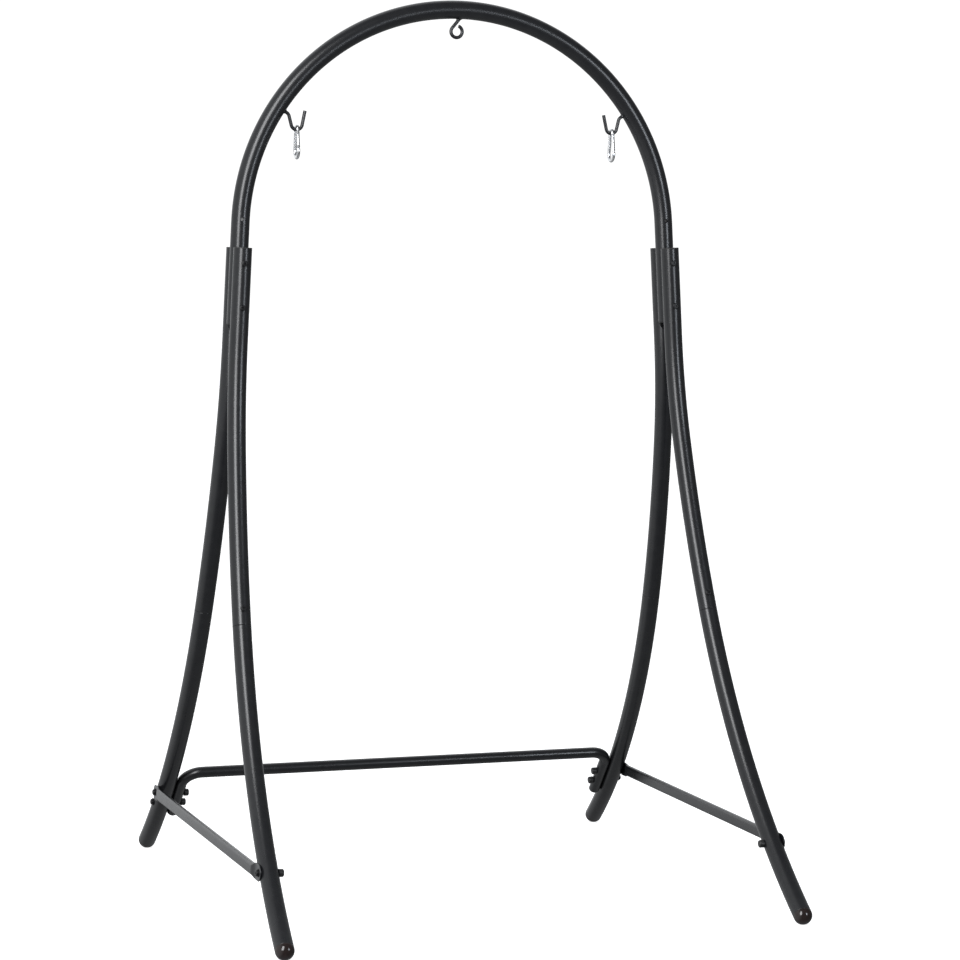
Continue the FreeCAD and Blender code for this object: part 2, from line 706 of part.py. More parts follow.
make_arch()
make_arch_plugs()
make_hardware()
make_crossbar()
for word, side in SIDES.items():
    make_snap(word, side)
    make_brace("side_brace_" + word, side)
    for place, end in ENDS.items():
        make_upper_leg("upper_leg_%s_%s" % (place, word), end, side)
        make_lower_leg("lower_leg_%s_%s" % (place, word), end, side)
        make_top_plug("leg_top_plug_%s_%s" % (place, word), end, side)
        make_foot_cap("foot_cap_%s_%s" % (place, word), end, side)
make_fasteners()

for name, shape in made.items():
    shape.exportStep("parts/%s.step" % name)
    print("%-26s solids %d  volume %10.1f" % (name, len(shape.Solids), shape.Volume))
print("nodes", len(made))
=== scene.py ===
# %% [markdown]
# # A stand for a hanging chair
# The real stand is bent steel tube: one arch, four curved legs, a crossbar and two side braces.
# It is bolted together and coated in satin black powder. Three rod hooks are welded under the arch.
# A Blender scene could model all of that from nothing, but the engineering model already says where
# every tube goes. So this lesson loads that model as a fixed frame, and dresses it piece by piece.

# %% Load the frame
import json
import math

import bmesh
import bpy
from mathutils import Matrix, Vector


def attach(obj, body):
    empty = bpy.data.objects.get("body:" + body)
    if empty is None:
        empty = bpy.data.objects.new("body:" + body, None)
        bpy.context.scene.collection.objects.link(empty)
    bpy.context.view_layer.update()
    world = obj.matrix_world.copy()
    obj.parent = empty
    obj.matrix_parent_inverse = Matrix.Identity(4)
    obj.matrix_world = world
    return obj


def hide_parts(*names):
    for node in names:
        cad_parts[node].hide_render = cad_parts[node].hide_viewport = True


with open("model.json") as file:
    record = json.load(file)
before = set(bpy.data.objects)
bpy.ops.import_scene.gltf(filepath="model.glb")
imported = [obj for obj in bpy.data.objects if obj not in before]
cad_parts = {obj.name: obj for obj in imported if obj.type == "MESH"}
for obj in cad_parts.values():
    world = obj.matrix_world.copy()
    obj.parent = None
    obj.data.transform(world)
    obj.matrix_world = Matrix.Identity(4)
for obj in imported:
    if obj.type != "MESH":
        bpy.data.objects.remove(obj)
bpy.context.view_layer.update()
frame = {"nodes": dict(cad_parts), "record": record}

# %% [markdown]
# ## The camera
# The stand is seen from its front left, at about the height of a standing person's eyes. A long lens from
# seven and a half metres away keeps the tubes nearly parallel. A constraint could aim the camera,
# but a fixed matrix made from three angles gives the same frame each time.

# %% Camera
camera_data = bpy.data.cameras.new("eye")
camera_data.sensor_width = 36.0
camera_data.lens = 121.98
camera_data.clip_end = 200.0
camera = bpy.data.objects.new("eye", camera_data)
bpy.context.scene.collection.objects.link(camera)
bpy.context.scene.camera = camera

stance = Vector((-2.30846, -7.20113, 1.50432))
heading, dip, tilt = 0.3176, 0.0730, 0.0017
forward = Vector((math.sin(heading) * math.cos(dip), math.cos(heading) * math.cos(dip), -math.sin(dip)))
level = Vector((math.cos(heading), -math.sin(heading), 0.0))
upward = level.cross(forward)
right = level * math.cos(tilt) + upward * math.sin(tilt)
up = upward * math.cos(tilt) - level * math.sin(tilt)
turn = Matrix((right, up, -forward)).transposed().to_4x4()
camera.matrix_world = Matrix.Translation(stance) @ turn
print("camera lens", camera_data.lens, "mm at", [round(v, 2) for v in stance])

# %% [markdown]
# ## The sizes that the dressing shares with the frame
# The tubes are drawn again here, rounder than the frame's own facets. Each follows the same centreline
# as its steel part, so the same sizes are needed: tube diameters, bend radii and bend angles.
# They could be read off the frame's meshes, but a bender's numbers are shorter and exact.

# %% Sizes, in metres and degrees
mm = 0.001
tube_radius = 21.2 * mm
bar_radius = 13.45 * mm
rod_radius = 4.0 * mm
stand_height = 2060 * mm
arch_radius = 515 * mm
lean = math.radians(2.9)
leg_top = 1489 * mm
arch_overlap = 171 * mm
saddle_gap, saddle_depth = 0.15 * mm, 8.4 * mm
saddle_radius = tube_radius + saddle_gap
leg_offset = 2 * tube_radius + saddle_gap - saddle_depth
arch_centre = stand_height - tube_radius - arch_radius
bend_end = arch_centre + arch_radius * math.sin(lean)
joint_x = arch_radius * math.cos(lean) + (bend_end - leg_top) * math.tan(lean)
SIDES = {"left": -1, "right": 1}
ENDS = {"front": -1, "rear": 1}
print("arch centre at", round(arch_centre, 4), "m, leg tops", round(2 * joint_x, 4), "m apart")

# %% [markdown]
# ## Bending a tube
# A workshop bends tube from a short list: run straight, bend by so many degrees round a former, run on.
# The same list can draw the centreline. A curve object with a round bevel would do, but a mesh made ring
# by ring lets the ends be softened and the radius change along the way, as a swaged end needs.

# %% A bender's list becomes a centreline
STEP = math.radians(1.2)


def bend_list(start, angle, moves):
    """Follow ("run", length) and ("bend", radius, degrees) moves in a plane, as (across, down, angle)."""
    across, down = start
    path = [(across, down, angle)]
    for kind, size, *turn_degrees in moves:
        if kind == "run":
            across += size * math.sin(angle)
            down += size * math.cos(angle)
            path.append((across, down, angle))
            continue
        total = math.radians(turn_degrees[0])
        way = math.copysign(1.0, total)
        count = max(2, math.ceil(abs(total) / STEP))
        first = (across, down, angle)
        for k in range(1, count + 1):
            angle = first[2] + total * k / count
            across = first[0] + way * size * (math.cos(first[2]) - math.cos(angle))
            down = first[1] + way * size * (math.sin(angle) - math.sin(first[2]))
            path.append((across, down, angle))
    return path


def plain_rings(path, radius):
    """Give every station of a path the same radius."""
    return [(*station, radius) for station in path]


def soft_ends(path, radius, lip=0.8 * mm, start=True, finish=True):
    """Rings for a bar whose cut ends are rounded over by a small lip.

    One more ring, three lips in, keeps the shading of the sides straight.
    """
    rings = plain_rings(path, radius)
    quarter = [math.radians(22.5 * k) for k in range(5)]
    roll = [(1 - math.cos(a), 1 - math.sin(a)) for a in quarter] + [(3, 0)]
    if start:
        x, d, a, _ = rings[0]
        rings[:1] = [(x + lip * s * math.sin(a), d + lip * s * math.cos(a), a, radius - lip * r)
                     for s, r in roll]
    if finish:
        x, d, a, _ = rings[-1]
        rings[-1:] = [(x - lip * s * math.sin(a), d - lip * s * math.cos(a), a, radius - lip * r)
                      for s, r in reversed(roll)]
    return rings


print("a quarter bend has", len(bend_list((0, 0), 0, [("bend", 0.1, 90)])), "stations")

# %% Rings become a skin
AROUND = 72
CREASE = 35   # degrees; sharper edges stay crisp


def skin(name, rings, plane):
    """A closed round skin over rings. The plane's columns are across, down, and square to both."""
    shell = bmesh.new()
    loops = []
    for across, down, angle, radius in rings:
        centre = plane @ Vector((across, down, 0))
        side = (plane.to_3x3() @ Vector((math.cos(angle), -math.sin(angle), 0))).normalized()
        square = (plane.to_3x3() @ Vector((0, 0, 1))).normalized()
        loops.append([shell.verts.new(centre + (side * math.cos(t) + square * math.sin(t)) * radius)
                      for t in (2 * math.pi * k / AROUND for k in range(AROUND))])
    for a, b in zip(loops, loops[1:]):
        for k in range(AROUND):
            shell.faces.new((a[k], a[(k + 1) % AROUND], b[(k + 1) % AROUND], b[k]))
    shell.faces.new(reversed(loops[0]))
    shell.faces.new(loops[-1])
    return finish_mesh(name, shell)


def finish_mesh(name, shell):
    """Turn a bmesh into a smooth-shaded object, keeping sharp edges crisp."""
    bmesh.ops.recalc_face_normals(shell, faces=shell.faces)
    data = bpy.data.meshes.new(name)
    shell.to_mesh(data)
    shell.free()
    piece = bpy.data.objects.new(name, data)
    bpy.context.scene.collection.objects.link(piece)
    data.polygons.foreach_set("use_smooth", [True] * len(data.polygons))
    data.set_sharp_from_angle(angle=math.radians(CREASE))
    return piece


def carve(piece, cutter):
    """Cut one mesh out of another for good, then throw the cutter away."""
    step = piece.modifiers.new("carve", "BOOLEAN")
    step.operation, step.solver, step.object = "DIFFERENCE", "EXACT", cutter
    bpy.context.view_layer.update()
    cut = bpy.data.meshes.new_from_object(piece.evaluated_get(bpy.context.evaluated_depsgraph_get()))
    piece.modifiers.clear()
    piece.data = cut
    bpy.data.objects.remove(cutter)
    cut.polygons.foreach_set("use_smooth", [True] * len(cut.polygons))
    cut.set_sharp_from_angle(angle=math.radians(CREASE))


def side_plane(side):
    """The leaning plane that holds a pair of legs: y to the rear, z = 0 at the leg tops."""
    return Matrix.Translation((side * joint_x, 0, leg_top)) @ Matrix.Rotation(-side * lean, 4, "Y")


def leg_plane(side, end):
    """The same plane for a bender's list: across runs out to the foot, down runs to the floor."""
    return side_plane(side) @ Matrix(((0, 0, 1, 0), (end, 0, 0, 0), (0, -1, 0, 0), (0, 0, 0, 1)))


print("skins are", AROUND, "sides round")

# %% [markdown]
# ## Satin black powder coat
# Powder is sprayed on dry and baked until it flows into a tough skin about a tenth of a millimetre thick.
# It dries with a very fine ripple, like orange peel, and a soft shine that picks up the lamps as streaks.
# One glossy black would look like wet paint. Two tones of black, a shine that varies a little, and a
# ripple about a millimetre across look baked.

# %% Helpers for finishes


def new_finish(name, colour, roughness, metallic=0.0, ior=1.5):
    """A material with its own shader's sockets set, ready for detail nodes."""
    material = bpy.data.materials.new(name)
    material.use_nodes = True
    shader = material.node_tree.nodes["Principled BSDF"]
    shader.inputs["Base Color"].default_value = (*colour, 1)
    shader.inputs["Roughness"].default_value = roughness
    shader.inputs["Metallic"].default_value = metallic
    shader.inputs["IOR"].default_value = ior
    return material, shader


def speckle(material, scale, detail, stretch=(1, 1, 1)):
    """A noise fixed to the piece itself, with its size in cells a metre."""
    nodes, links = material.node_tree.nodes, material.node_tree.links
    place = nodes.new("ShaderNodeTexCoord")
    spread = nodes.new("ShaderNodeMapping")
    noise = nodes.new("ShaderNodeTexNoise")
    spread.inputs["Scale"].default_value = stretch
    noise.inputs["Scale"].default_value = scale
    noise.inputs["Detail"].default_value = detail
    links.new(place.outputs["Object"], spread.inputs["Vector"])
    links.new(spread.outputs["Vector"], noise.inputs["Vector"])
    return noise.outputs["Fac"]


def tint(material, shader, pattern, dark, light):
    """Let a pattern wander between two close colours."""
    ramp = material.node_tree.nodes.new("ShaderNodeValToRGB")
    ramp.color_ramp.elements[0].position, ramp.color_ramp.elements[1].position = 0.35, 0.65
    ramp.color_ramp.elements[0].color, ramp.color_ramp.elements[1].color = (*dark, 1), (*light, 1)
    material.node_tree.links.new(pattern, ramp.inputs["Fac"])
    material.node_tree.links.new(ramp.outputs["Color"], shader.inputs["Base Color"])


def uneven_shine(material, shader, pattern, low, high):
    """Let a pattern wander between two roughnesses."""
    band = material.node_tree.nodes.new("ShaderNodeMapRange")
    band.inputs["To Min"].default_value, band.inputs["To Max"].default_value = low, high
    material.node_tree.links.new(pattern, band.inputs["Value"])
    material.node_tree.links.new(band.outputs["Result"], shader.inputs["Roughness"])


def relief(material, shader, pattern, depth, strength):
    """Raise a pattern off the surface by a depth in metres."""
    bump = material.node_tree.nodes.new("ShaderNodeBump")
    bump.inputs["Strength"].default_value = strength
    bump.inputs["Distance"].default_value = depth
    material.node_tree.links.new(pattern, bump.inputs["Height"])
    material.node_tree.links.new(bump.outputs["Normal"], shader.inputs["Normal"])


# %% Powder coat
powder_coat, shader = new_finish("satin_black_powder_coat", (0.011, 0.0115, 0.013), 0.26)
tint(powder_coat, shader, speckle(powder_coat, 55, 4), (0.0095, 0.010, 0.0115), (0.0125, 0.013, 0.0145))
uneven_shine(powder_coat, shader, speckle(powder_coat, 24, 3), 0.24, 0.31)
relief(powder_coat, shader, speckle(powder_coat, 700, 1), 0.00001, 0.1)
print("made", powder_coat.name)

# %% [markdown]
# ## The arch
# A two metre length of 42 mm tube is bent round a large former into a half circle, with a short
# straight tail at each end that tucks between the leg tops. It could be a torus and two cylinders, but then
# the streak of light along it would break at each join. One bender's list makes one unbroken skin.

# %% Arch tube
tail = (bend_end - leg_top) / math.cos(lean) + arch_overlap
arch_plane = Matrix(((1, 0, 0, 0), (0, 0, 1, 0), (0, -1, 0, 0), (0, 0, 0, 1)))
tail_end = side_plane(-1) @ Vector((0, 0, -arch_overlap))
arch_path = bend_list((tail_end.x, -tail_end.z), math.pi - lean,
                      [("run", tail), ("bend", arch_radius, -180 + 2 * math.degrees(lean)), ("run", tail)])
arch = skin("arch", soft_ends(arch_path, tube_radius), arch_plane)
print("arch tube length", round(2 * tail + arch_radius * (math.pi - 2 * lean), 3), "m")

# %% [markdown]
# The tails are drilled once more above the joint, so that the arch can be bolted lower. A dark dot painted
# on would not catch light on its rim. Cutting a real hole with a boolean does, and leaves the rim crisp.

# %% Spare holes
hole_radius = 4.3 * mm
spare_rise = 66 * mm
across_tube = [(0, -2 * tube_radius, 0), (0, 2 * tube_radius, 0)]
for side in SIDES.values():
    drill = skin("drill", plain_rings(across_tube, hole_radius),
                 side_plane(side) @ Matrix.Translation((0, 0, spare_rise)))
    carve(arch, drill)
print("arch has", len(arch.data.polygons), "faces after drilling")


# %% Dress a piece


def dress(piece, material, body, slot, *nodes):
    """Give a piece its finish, hang it on its body's empty, and hide the frame parts that it stands in for.
    """
    piece.data.materials.clear()
    piece.data.materials.append(material)
    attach(piece, body)
    if nodes:
        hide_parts(*nodes)


dress(arch, powder_coat, "stand", "frame_black", "arch_tube")
print("arch dressed")

# %% [markdown]
# ## The upper legs
# Each upper leg starts straight beside the arch's tail, bends away from it, and sweeps down to a seam.
# Its top is pressed to a saddle that hugs the arch tube. Squashing vertices by hand could fake that,
# but the press tool is only a round bar with a round nose, so a boolean with that bar gives the true shape.

# %% Upper legs
leg_straight, knee_radius, slow_sweep = 205 * mm, 1120 * mm, 2450 * mm
upper_moves = [("run", leg_straight), ("bend", knee_radius, 12.5), ("bend", slow_sweep, 9.7)]
upper_path = bend_list((leg_offset, 0), 0.0, upper_moves)
seam = upper_path[-1]
nose_gap = 4 * mm
clear_of_top = 30 * mm


def press_tool(side):
    """A round-nosed bar that lies where the arch's tail lies."""
    nose = arch_overlap + nose_gap
    dome = [(0, nose + saddle_radius * math.sin(a), 0, saddle_radius * math.cos(a))
            for a in (math.radians(7.5 * k) for k in range(12))]
    return skin("press", [(0, -clear_of_top, 0, saddle_radius)] + dome, leg_plane(side, 1))


for word, side in SIDES.items():
    for place, end in ENDS.items():
        leg = skin("upper_tube_%s_%s" % (place, word), soft_ends(upper_path, tube_radius, start=False),
                   leg_plane(side, end))
        carve(leg, press_tool(side))
        dress(leg, powder_coat, "stand", "frame_black", "upper_leg_%s_%s" % (place, word))
print("seam is", round(leg_top - seam[1] * math.cos(lean), 3), "m up")

# %% [markdown]
# ## The lower legs
# A lower leg's top is swaged down to slide inside the upper leg, and the tube sweeps on to the foot.
# At the seam both tubes show a small rounded lip and a dark hairline between. Drawing the line in the
# material would slide over the shape, so the swaged neck and the two lips are part of the skin.

# %% Lower legs
sweep_radius = 1480 * mm
foot_height = 20 * mm
cap_band = 3 * mm
seam_gap = 0.4 * mm
neck_length = 70 * mm
neck_radius = tube_radius - 1.6 * mm
drop_to_foot = (leg_top - foot_height) / math.cos(lean) - seam[1]
foot_angle = math.asin(math.sin(seam[2]) + drop_to_foot / sweep_radius)
gap_turn = seam_gap / sweep_radius
lower_turn = foot_angle - cap_band / sweep_radius - seam[2] - gap_turn
neck_turn = math.degrees(-neck_length / slow_sweep)
neck_path = bend_list(seam[:2], seam[2] + math.pi, [("bend", slow_sweep, neck_turn)])
neck = [(x, d, a - math.pi, neck_radius) for x, d, a in reversed(neck_path)]
lower_start = bend_list(seam[:2], seam[2], [("bend", sweep_radius, math.degrees(gap_turn))])[-1]
lower_path = bend_list(lower_start[:2], lower_start[2], [("bend", sweep_radius, math.degrees(lower_turn))])
lower_rings = neck + [(*lower_start, neck_radius)] + soft_ends(lower_path, tube_radius)
for word, side in SIDES.items():
    for place, end in ENDS.items():
        leg = skin("lower_tube_%s_%s" % (place, word), lower_rings, leg_plane(side, end))
        dress(leg, powder_coat, "stand", "frame_black", "lower_leg_%s_%s" % (place, word))
print("feet splay", round(math.degrees(foot_angle), 1), "degrees from upright")

# %% [markdown]
# ## The foot caps
# A moulded cap closes each foot. It is a dark brown-black plastic, much glossier than the coat, and shows
# a lamp as a small hard spark. A half sphere parented to the leg would do from afar. Rings along
# the leg's own direction keep the band and the dome in line with the tube, and the sole is flattened.

# %% Glossy cap plastic
cap_plastic, shader = new_finish("glossy_cap_plastic", (0.017, 0.011, 0.010), 0.12)
tint(cap_plastic, shader, speckle(cap_plastic, 140, 3), (0.015, 0.010, 0.009), (0.020, 0.013, 0.012))
uneven_shine(cap_plastic, shader, speckle(cap_plastic, 60, 2), 0.09, 0.17)
relief(cap_plastic, shader, speckle(cap_plastic, 300, 2), 0.00002, 0.25)
print("made", cap_plastic.name)

# %% Foot caps
tube_end = lower_path[-1]
way = (math.sin(tube_end[2]), math.cos(tube_end[2]))
dome_centre = (tube_end[0] + cap_band * way[0], tube_end[1] + cap_band * way[1])
dome = [(dome_centre[0] + tube_radius * math.sin(a) * way[0],
         dome_centre[1] + tube_radius * math.sin(a) * way[1],
         tube_end[2], tube_radius * math.cos(a)) for a in (math.radians(3.6 * k) for k in range(25))]
band = soft_ends([tube_end, (*dome_centre, tube_end[2])], tube_radius, lip=0.5 * mm, finish=False)
for word, side in SIDES.items():
    for place, end in ENDS.items():
        cap = skin("foot_dome_%s_%s" % (place, word), band[:-1] + dome, leg_plane(side, end))
        for vertex in cap.data.vertices:
            vertex.co.z = max(vertex.co.z, 0.0)
        dress(cap, cap_plastic, "stand", "gloss_caps", "foot_cap_%s_%s" % (place, word))
print("caps reach", round(min(v.co.z for v in cap.data.vertices), 4), "m")

# %% [markdown]
# ## The rear crossbar
# A thinner tube joins the rear legs. It runs level, bends down hard at each end, and is bolted flat against
# the inside of each leg. It lies in one slanting plane, so one bender's list draws it from end to end.

# %% Where a leg is, at a height
bar_bolts_height = 151 * mm
bolt_half_pitch = 20 * mm


def lower_leg_at(height):
    """A lower leg's centreline at a height, as (across, down, angle)."""
    drop = (leg_top - height) / math.cos(lean) - seam[1]
    angle = math.asin(math.sin(seam[2]) + drop / sweep_radius)
    return (seam[0] + sweep_radius * (math.cos(seam[2]) - math.cos(angle)),
            seam[1] + sweep_radius * (math.sin(angle) - math.sin(seam[2])), angle)


bolt_middle = lower_leg_at(bar_bolts_height)
print("crossbar bolts sit", [round(v, 3) for v in bolt_middle[:2]], "out and down")

# %% Crossbar
bar_rise, bar_tail, bar_bend = 100 * mm, 38 * mm, 45 * mm
bar_gap = 0.2 * mm
inset = tube_radius + bar_gap + bar_radius


def beside_leg(side, along):
    """A point on the crossbar's axis beside a rear leg, so far down the leg from the bolts' middle."""
    return side_plane(side) @ Vector((-side * inset, bolt_middle[0] + along * math.sin(bolt_middle[2]),
                                      -bolt_middle[1] - along * math.cos(bolt_middle[2])))


bar_end, bar_corner = beside_leg(-1, bolt_half_pitch + bar_tail), beside_leg(-1, -bar_rise)
down_plane = Vector((0, bar_end.y - bar_corner.y, bar_end.z - bar_corner.z)).normalized()
bar_plane = Matrix((Vector((1, 0, 0)), down_plane, Vector((1, 0, 0)).cross(down_plane))).transposed().to_4x4()
bar_plane.translation = Vector((0, bar_corner.y, bar_corner.z))
splay = math.atan2(bar_corner.x - bar_end.x, (bar_end - bar_corner).dot(down_plane))
cut_back = bar_bend / math.tan(math.radians(45) + splay / 2)
leg_run = (bar_end - bar_corner).length - cut_back
level_run = -2 * bar_corner.x - 2 * cut_back
corner_turn = -90 + math.degrees(splay)
bar_path = bend_list((bar_end.x, (bar_end - bar_corner).dot(down_plane)), math.pi - splay,
                     [("run", leg_run), ("bend", bar_bend, corner_turn), ("run", level_run),
                      ("bend", bar_bend, corner_turn), ("run", leg_run)])
crossbar = skin("cross_tube", soft_ends(bar_path, bar_radius, lip=0.6 * mm), bar_plane)
dress(crossbar, powder_coat, "stand", "frame_black", "rear_crossbar")
print("crossbar level run", round(level_run, 3), "m")

# %% [markdown]
# ## The side braces
# Each brace is a flat-sided oval tube whose ends are crushed flat in a press and rounded off for one bolt.
# A box with bevels would miss the crease where the tube opens out. Lofting one outline along the brace, and
# letting its height and thickness change as the press leaves them, gives tab, crease and tube in one skin.

# %% Side braces
brace_half_height, brace_half_thick = 14 * mm, 7.5 * mm
tab_half_height, tab_half_thick = 18.3 * mm, 1.2 * mm
tab_reach, open_length = 24 * mm, 20 * mm
brace_gap, brace_front_height = 0.1 * mm, 155 * mm
front_bolt = lower_leg_at(brace_front_height)
BRACE_AROUND = 48


def ease(t):
    """Rise smoothly from 0 to 1."""
    t = min(1.0, max(0.0, t))
    return t * t * (3 - 2 * t)


def brace_outline(along, span):
    """Half height and half thickness at a distance from the front bolt."""
    inward = min(along, span - along)
    opened = ease((inward - tab_reach) / open_length)
    height = tab_half_height + (brace_half_height - tab_half_height) * opened
    if inward < 0:
        height = math.sqrt(max(tab_half_height ** 2 - inward ** 2, 0.0))
    return height, tab_half_thick + (brace_half_thick - tab_half_thick) * opened


def make_brace(name, side):
    """Loft the brace's outline along the line between its end bolts."""
    frame_of = side_plane(side)
    shift = side * (tube_radius + brace_gap + tab_half_thick)
    front = frame_of @ Vector((shift, -front_bolt[0], -front_bolt[1]))
    rear = frame_of @ Vector((shift, bolt_middle[0] - bolt_half_pitch * math.sin(bolt_middle[2]),
                              -bolt_middle[1] + bolt_half_pitch * math.cos(bolt_middle[2])))
    span = (rear - front).length
    run = (rear - front).normalized()
    out = (frame_of.to_3x3() @ Vector((side, 0, 0))).normalized()
    tall = out.cross(run).normalized()
    places = [-tab_half_height * math.cos(math.radians(6 * k)) for k in range(1, 16)]
    places += [tab_reach * k / 4 for k in range(5)] + [tab_reach + open_length * k / 14 for k in range(1, 15)]
    places += [span / 2] + [span - p for p in reversed(places)]
    shell = bmesh.new()
    loops = []
    for along in places:
        height, thick = brace_outline(along, span)
        thick = min(thick, height)
        ring = []
        for k in range(BRACE_AROUND):
            t = 2 * math.pi * (k + 0.5) / BRACE_AROUND
            lift = math.copysign(height - thick, math.sin(t)) + thick * math.sin(t)
            ring.append(shell.verts.new(front + run * along + tall * lift + out * thick * math.cos(t)))
        loops.append(ring)
    for a, b in zip(loops, loops[1:]):
        for k in range(BRACE_AROUND):
            after = (k + 1) % BRACE_AROUND
            shell.faces.new((a[k], a[after], b[after], b[k]))
    shell.faces.new(loops[0])
    shell.faces.new(loops[-1])
    return finish_mesh(name, shell), span


for word, side in SIDES.items():
    brace, span = make_brace("oval_brace_" + word, side)
    dress(brace, powder_coat, "stand", "frame_black", "side_brace_" + word)
print("brace", round(span, 3), "m between bolts")

# %% [markdown]
# ## Rod hooks
# The two open hooks and the eye are bent from 8 mm rod, cut square at the tip. A hook starts square off
# the arch, turns down into a straight arm, and swings round in a U. The eye's neck slants into its loop.
# Both follow a bender's list again, drawn in the arch's own plane, so they come out round and even.

# %% Hooks
hook_angle, arm_lean, tip_lean = math.radians(34), math.radians(14), math.radians(12)
hook_bend, root_bend = 13 * mm, 12 * mm
inner_radius = arch_radius - tube_radius
hook_spread, hook_rise, hook_tip = 27.4 * mm, 28 * mm, 33.5 * mm
root_sink = 2 * mm   # a rod starts this far inside the arch's surface


def hook_plane(side):
    """From where the hook leaves the arch, across runs inwards and down runs to the floor."""
    root = (side * inner_radius * math.cos(hook_angle), 0, arch_centre + inner_radius * math.sin(hook_angle))
    return Matrix.Translation(root) @ Matrix(((-side, 0, 0, 0), (0, 0, 1, 0), (0, -1, 0, 0), (0, 0, 0, 1)))


off_arch = math.pi / 2 - hook_angle
root_turn = off_arch - arm_lean
u_side = (hook_spread - hook_bend * math.cos(arm_lean), hook_rise + hook_bend * math.sin(arm_lean))
corner_reach = ((u_side[0] * math.cos(arm_lean) - u_side[1] * math.sin(arm_lean))
                / (math.sin(off_arch) * math.cos(arm_lean) - math.cos(off_arch) * math.sin(arm_lean)))
corner = (corner_reach * math.sin(off_arch), corner_reach * math.cos(off_arch))
from_corner = root_bend * math.tan(root_turn / 2)
arm_run = math.dist(corner, u_side) - from_corner
hook_turn = 180 - math.degrees(arm_lean + tip_lean)
hook_moves = [("run", corner_reach - from_corner + root_sink), ("bend", root_bend, -math.degrees(root_turn)),
              ("run", arm_run), ("bend", hook_bend, hook_turn), ("run", hook_tip)]
inside_wall = (-root_sink * math.sin(off_arch), -root_sink * math.cos(off_arch))
hook_path = bend_list(inside_wall, off_arch, hook_moves)
for word, side in SIDES.items():
    hook = skin("rod_hook_" + word, soft_ends(hook_path, rod_radius, lip=0.4 * mm, start=False),
                hook_plane(side))
    dress(hook, powder_coat, "stand", "frame_black", "hook_" + word)
print("hook tip is", [round(v, 4) for v in hook_path[-1][:2]], "in and down from its root")

# %% Eye
eye_radius, eye_drop = 13.5 * mm, 29 * mm
neck_lean, eye_tip = math.radians(40), 70.0
loop_start = (-eye_radius * math.cos(neck_lean), eye_drop - eye_radius * math.sin(neck_lean))
neck_run = loop_start[1] / math.cos(neck_lean) + root_sink
neck_top = (loop_start[0] + neck_run * math.sin(neck_lean), loop_start[1] - neck_run * math.cos(neck_lean))
eye_moves = [("run", neck_run), ("bend", eye_radius, 180 + eye_tip + math.degrees(neck_lean))]
eye_plane = Matrix.Translation((0, 0, stand_height - 2 * tube_radius)) @ arch_plane
eye_path = bend_list(neck_top, -neck_lean, eye_moves)
eye = skin("rod_eye", soft_ends(eye_path, rod_radius, lip=0.4 * mm, start=False), eye_plane)
dress(eye, powder_coat, "stand", "frame_black", "eye_hook")
print("eye hangs", round(eye_drop + eye_radius + rod_radius, 4), "m below the arch")

# %% [markdown]
# ## Welds at the hooks
# Each hook's rod is welded round to the arch, then coated over. The weld is a small fillet with the ripples
# that the torch left. A plain cone looks turned on a lathe. This one follows the tube's curve
# by feeling for its surface, and swells and sinks as it goes round.

# %% Feel for the arch's surface


def above_arch(point):
    """How far a point is outside the arch's tube."""
    ring = math.hypot(point.x, point.z - arch_centre) - arch_radius
    return math.hypot(ring, point.y) - tube_radius


def meet_arch(point, inward):
    """Slide a point along a direction until it touches the arch."""
    for _ in range(30):
        point = point + inward * above_arch(point)
    return point


WELD_AROUND, WELD_ROWS = 64, 9
weld_size = 3.4 * mm
feel_from = 4 * mm   # start this far off the arch, then slide in


def hook_weld(name, root, axis):
    """A rippled fillet round a rod that leaves the arch at root, along axis."""
    first = axis.orthogonal().normalized()
    second = axis.cross(first).normalized()
    shell = bmesh.new()
    loops = []
    for k in range(WELD_AROUND):
        turn = 2 * math.pi * k / WELD_AROUND
        radial = first * math.cos(turn) + second * math.sin(turn)
        ripple = 1 + 0.13 * math.sin(9 * turn) + 0.07 * math.sin(14 * turn + 1)
        size = weld_size * ripple
        foot = meet_arch(root + axis * feel_from + radial * (rod_radius + size), -axis)
        neck_low = meet_arch(root + axis * feel_from + radial * rod_radius, -axis)
        top = neck_low + axis * size * 1.3
        column = []
        for row in range(WELD_ROWS):
            t = row / (WELD_ROWS - 1)
            hug = foot.lerp(neck_low, t).lerp(neck_low.lerp(top, t), t)
            column.append(shell.verts.new(hug))
        column.append(shell.verts.new(neck_low - axis * 0.8 * mm - radial * 0.5 * mm))
        loops.append(column)
    for k in range(WELD_AROUND):
        a, b = loops[k], loops[(k + 1) % WELD_AROUND]
        for row in range(WELD_ROWS):
            shell.faces.new((a[row], b[row], b[row + 1], a[row + 1]))
        shell.faces.new((a[WELD_ROWS], b[WELD_ROWS], b[0], a[0]))
    return finish_mesh(name, shell)


print("crown of the arch is", round(above_arch(Vector((0, 0, stand_height))), 6), "m off its own surface")

# %% Hook welds
for word, side in SIDES.items():
    square = Vector((side * math.cos(hook_angle), 0, math.sin(hook_angle)))
    weld = hook_weld("hook_weld_" + word, hook_plane(side).translation, -square)
    dress(weld, powder_coat, "stand", "frame_black")
neck_way = Vector((-math.sin(neck_lean), 0, -math.cos(neck_lean)))
neck_foot = Vector((loop_start[0] + loop_start[1] * math.tan(neck_lean), 0, stand_height - 2 * tube_radius))
eye_weld = hook_weld("hook_weld_middle", neck_foot, neck_way)
dress(eye_weld, powder_coat, "stand", "frame_black", "hook_welds")
print("three welds made")

# %% [markdown]
# ## Black bolts and plastic covers
# The bolts, nuts and washers are blackened steel: darker than the coat, with a patchy, oiled shine.
# The round nut covers and tube plugs are moulded plastic with a fine dull grain. Their shapes come straight
# from the frame, so only the finish is added.

